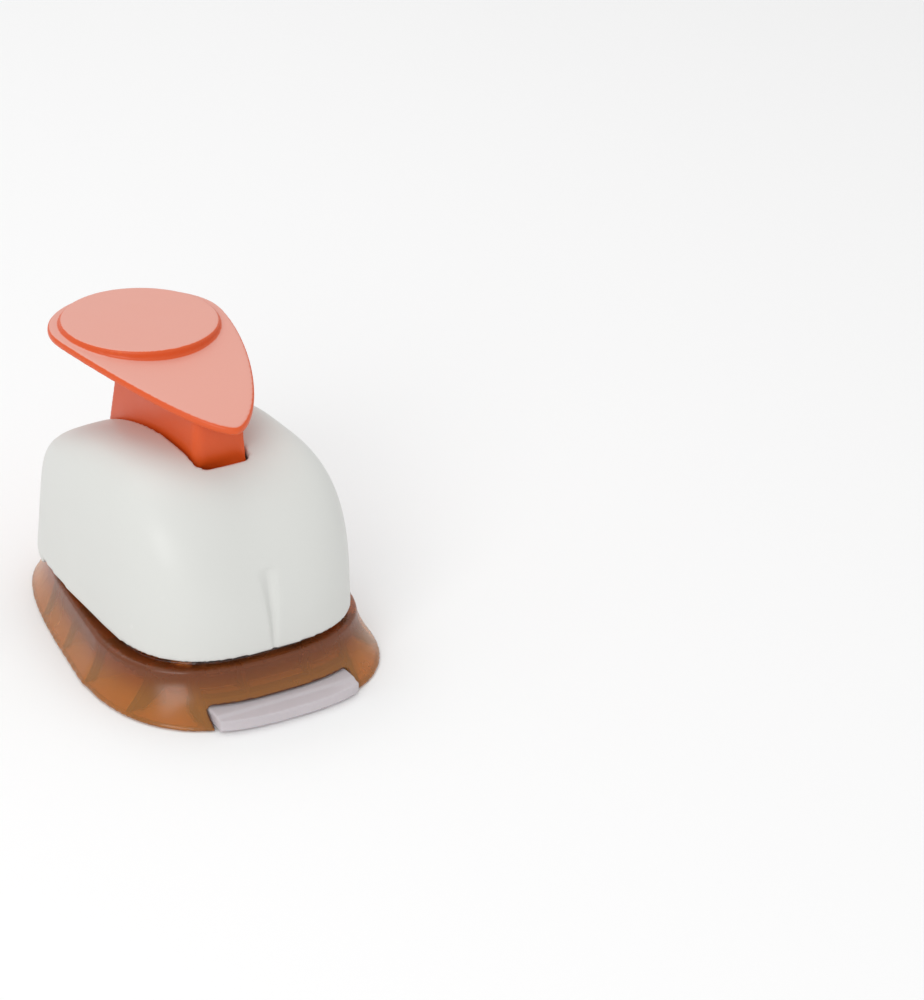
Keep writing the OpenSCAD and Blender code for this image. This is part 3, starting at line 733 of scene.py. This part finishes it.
# The lever's upward faces are painted paler: a painted highlight standing in for the light that
# falls on them from above
orangePlastic, orangeTree, orangeShader = mouldedPlastic(
    "orangeLeverPlastic", linear(218, 84, 24), linear(240, 128, 48), (0.34, 0.44),
    grain=2100, bump=0.2)
# painted highlight: faces whose normal points up are mixed towards pale salmon
tintAlong(orangeTree, orangeShader, "Normal", "Z", 0.8, 0.985, linear(226, 158, 142))

# Golden at the foot, browner where the skirt is backed by the deck
amberPlastic, amberTree, amberShader = mouldedPlastic(
    "amberBasePlastic", linear(238, 158, 72), linear(250, 194, 120), (0.16, 0.3),
    grain=900, bump=0.1, wear=0.2, **{"Transmission Weight": 0.72, "IOR": 1.45})
tintAlong(amberTree, amberShader, "Object", "Z", 2.5 * mm, 9 * mm, linear(190, 104, 52))
darkAmber, _, _ = mouldedPlastic(
    "amberRibPlastic", linear(88, 42, 18), linear(120, 64, 32), (0.3, 0.45),
    grain=900, bump=0.1, wear=0.2, **{"Transmission Weight": 0.25, "IOR": 1.45})
clearPlastic, _, _ = mouldedPlastic(
    "clearLockPlastic", linear(250, 243, 247), linear(253, 251, 253), (0.12, 0.22),
    grain=600, bump=0.05, wear=0.4, **{"Transmission Weight": 0.5, "IOR": 1.45})
blackPlastic, _, _ = mouldedPlastic(
    "blackCarrierPlastic", linear(46, 47, 50), linear(74, 75, 78), (0.38, 0.55), bump=0.2)
steel = metal("groundSteel", linear(196, 198, 200), linear(176, 177, 178), (0.2, 0.34))
darkSteel = metal("blackenedSteel", linear(98, 100, 104), linear(76, 77, 80), (0.3, 0.45),
                  (300, 300, 300))
brass = metal("drawnBrass", linear(201, 165, 92), linear(170, 132, 70), (0.22, 0.36),
              (600, 600, 60))
springSteel = metal("springSteel", linear(188, 190, 194), linear(160, 162, 166), (0.16, 0.28),
                    (200, 200, 900))

nodeFinish = {
    "die_plate": steel, "guide_plate": steel, "gap_spacer": blackPlastic, "pivot_frame": steel,
    "lever_pin": steel, "pin_clips": darkSteel, "guide_post_left": steel,
    "guide_post_right": steel, "post_clips": darkSteel, "die_screws": darkSteel,
    "frame_screws": darkSteel, "base_screws": darkSteel, "housing_screws": darkSteel,
    "catch_pin": steel, "punch_carrier": blackPlastic, "star_cutter": steel,
    "cutter_screws": darkSteel, "carrier_bush_left": brass, "carrier_bush_right": brass,
}
for node, finish in nodeFinish.items():
    for holder in nodes[node].material_slots:
        holder.material = finish
print("materials made")


def finishPiece(piece, material, body, slot, *replaced):
    piece.data.materials.clear()
    piece.data.materials.append(material)
    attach(piece, body)
    if replaced:
        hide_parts(*replaced)
    print(piece.name, len(piece.data.polygons), "faces")


finishPiece(buildHousing(), greyPlastic, "root", "grey_plastic", "housing")
finishPiece(buildLever(), orangePlastic, "lever", "orange_plastic", "press_lever")
finishPiece(buildBase(), amberPlastic, "root", "amber_plastic", "base")
finishPiece(buildRibs(), darkAmber, "root", "amber_plastic")
finishPiece(buildLockSlide(), clearPlastic, "lock", "clear_plastic", "lock_slide")
for side, hand in ((-1, "left"), (1, "right")):
    coil = buildSpring("coil_" + hand, side)
    finishPiece(coil, springSteel, "root", "steel", "return_spring_" + hand)
    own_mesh(coil)

deselectAll()
bpy.ops.mesh.primitive_plane_add(size=3, location=(0, 0, -0.0002))
floor = newPiece("floor")
paleFloor = startMaterial("paleFloor", {"Roughness": 0.9, "Base Color": (0.95, 0.95, 0.95, 1)})[0]
floor.data.materials.append(paleFloor)

studio = {
    "worldStrength": 0.74, "target": (0, 0, 0.03),
    "keyLight": {"place": (-0.62, -0.5, 0.55), "size": 0.5, "power": 2.6},
    "fillLight": {"place": (0.6, -0.5, 0.45), "size": 0.6, "power": 0.05},
    "topLight": {"place": (0.0, 0.35, 0.8), "size": 0.6, "power": 1.4},
}


def softLight(name, place, size, power):
    deselectAll()
    bpy.ops.object.light_add(type="AREA", location=place)
    lamp = bpy.context.object
    lamp.name = name
    lamp.data.size = size
    lamp.data.energy = power
    aim = Vector(studio["target"]) - Vector(place)
    lamp.rotation_euler = aim.to_track_quat("-Z", "Y").to_euler()


for name in ("keyLight", "fillLight", "topLight"):
    softLight(name, **studio[name])
world = bpy.data.worlds.new("studioWorld")
world.use_nodes = True
world.node_tree.nodes["Background"].inputs["Color"].default_value = (1, 1, 1, 1)
world.node_tree.nodes["Background"].inputs["Strength"].default_value = studio["worldStrength"]
bpy.context.scene.world = world
bpy.context.scene.view_settings.view_transform = "Standard"

# The object stands left of the middle, so the lens points to the right of it
view = {"place": (-0.2521, -0.4734, 0.3080), "target": (0.0443, -0.0307, 0.0321),
        "focal": 107.6, "roll": 2.62}
deselectAll()
bpy.ops.object.camera_add(location=view["place"])
camera = bpy.context.object
camera.name = "mainCamera"
camera.data.lens = view["focal"]
camera.data.sensor_width = 36
camera.data.clip_start = 0.01
sight = (Vector(view["target"]) - Vector(view["place"])).to_track_quat("-Z", "Y")
camera.rotation_euler = (sight @ Quaternion((0, 0, 1), math.radians(view["roll"]))).to_euler()
bpy.context.scene.camera = camera
deselectAll()
print("stage set")
